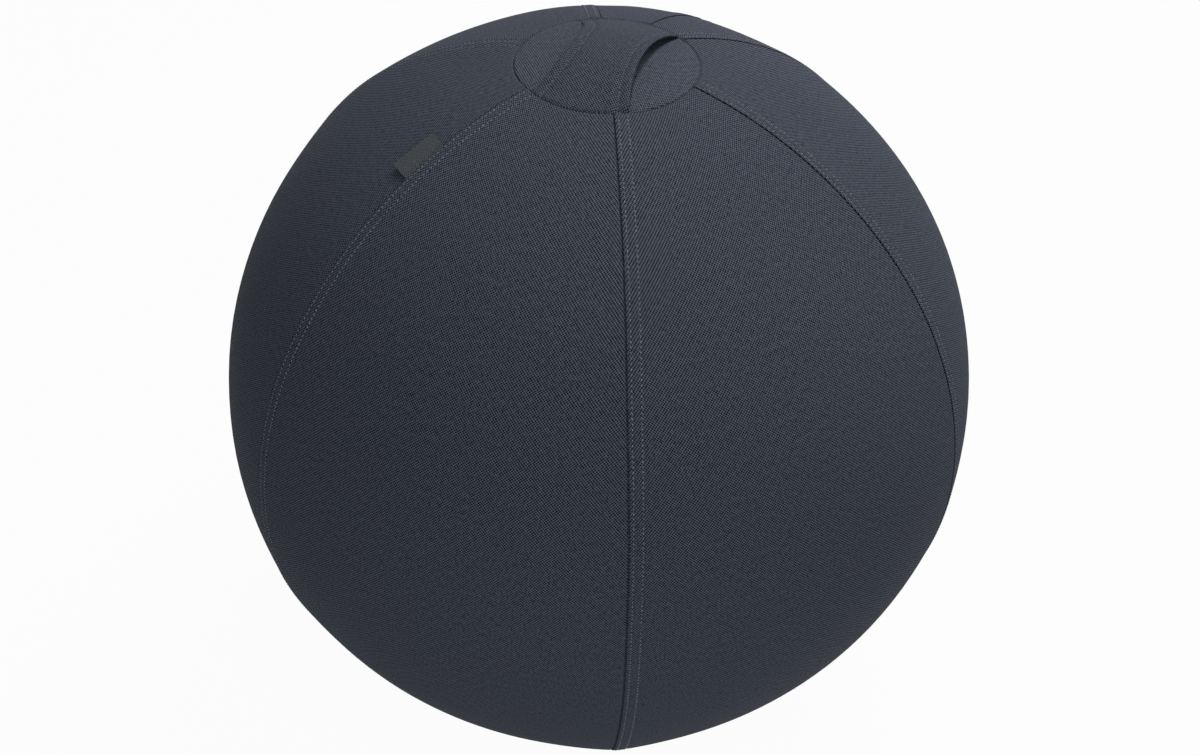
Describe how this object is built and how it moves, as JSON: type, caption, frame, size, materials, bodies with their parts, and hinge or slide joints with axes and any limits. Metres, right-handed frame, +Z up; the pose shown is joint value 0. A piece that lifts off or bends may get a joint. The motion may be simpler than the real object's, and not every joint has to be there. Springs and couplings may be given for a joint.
{
  "type": "sitting ball",
  "caption": "Inflated sitting ball in a sewn woven cover of lapped gores, with a carry strap over the top disc, a zip down the back and a flat weighted base.",
  "frame": {"origin": "middle of the flat base, on the floor", "axes": "+Z up through the strap, +Y towards the zip at the back, -Y the front"},
  "size_m": [0.6546, 0.6512, 0.6568],
  "materials": {
    "cover_cloth": "woven, matte",
    "base_cloth": "tight woven, matte",
    "label_cloth": "woven ribbon",
    "zip_tape": "woven tape",
    "zip_coil": "satin nylon",
    "zip_metal": "satin enamel",
    "bladder_rubber": "matte",
    "plug_plastic": "matte",
    "pouch_cloth": "plain lining",
    "granulate": "coarse grain"
  },
  "bodies": {
    "ball": {"gore_front": "cover_cloth", "gore_front_right": "cover_cloth", "gore_back_right": "cover_cloth", "gore_back_left": "cover_cloth", "gore_front_left": "cover_cloth", "zip_gore_right": "cover_cloth", "zip_gore_left": "cover_cloth", "top_disc": "cover_cloth", "base_disc": "base_cloth", "zip_tape_left": "zip_tape", "zip_tape_right": "zip_tape", "zip_coil_left": "zip_coil", "zip_coil_right": "zip_coil", "zip_top_stop": "zip_metal", "zip_bottom_stop": "zip_metal", "bladder": "bladder_rubber", "valve_seat": "bladder_rubber", "valve_plug": "plug_plastic", "ballast_pouch": "pouch_cloth", "ballast_granulate": "granulate"},
    "handle": {"carry_strap": "cover_cloth"},
    "label": {"label_tab": "label_cloth"},
    "slider": {"zip_slider": "zip_metal"},
    "pull": {"zip_pull": "zip_metal"}
  },
  "joints": [
    {"name": "handle_lift", "type": "slide", "parent": "ball", "child": "handle", "axis": [0, 0, 1], "range_m": [0, 0.015]},
    {"name": "label_flip", "type": "hinge", "parent": "ball", "child": "label", "pos_m": [-0.0816, -0.13934, 0.60323], "axis": [0.4343, 0.7523, 0.4955], "range_deg": [0, 95]},
    {"name": "zip_travel", "type": "hinge", "parent": "ball", "child": "slider", "pos_m": [0, 0, 0.32014], "axis": [1, 0, 0], "range_deg": [0, 80.9]},
    {"name": "zip_pull_flip", "type": "hinge", "parent": "slider", "child": "pull", "pos_m": [0, 0.29564, 0.1759], "axis": [1, 0, 0], "range_deg": [-20, 145]}
  ]
}
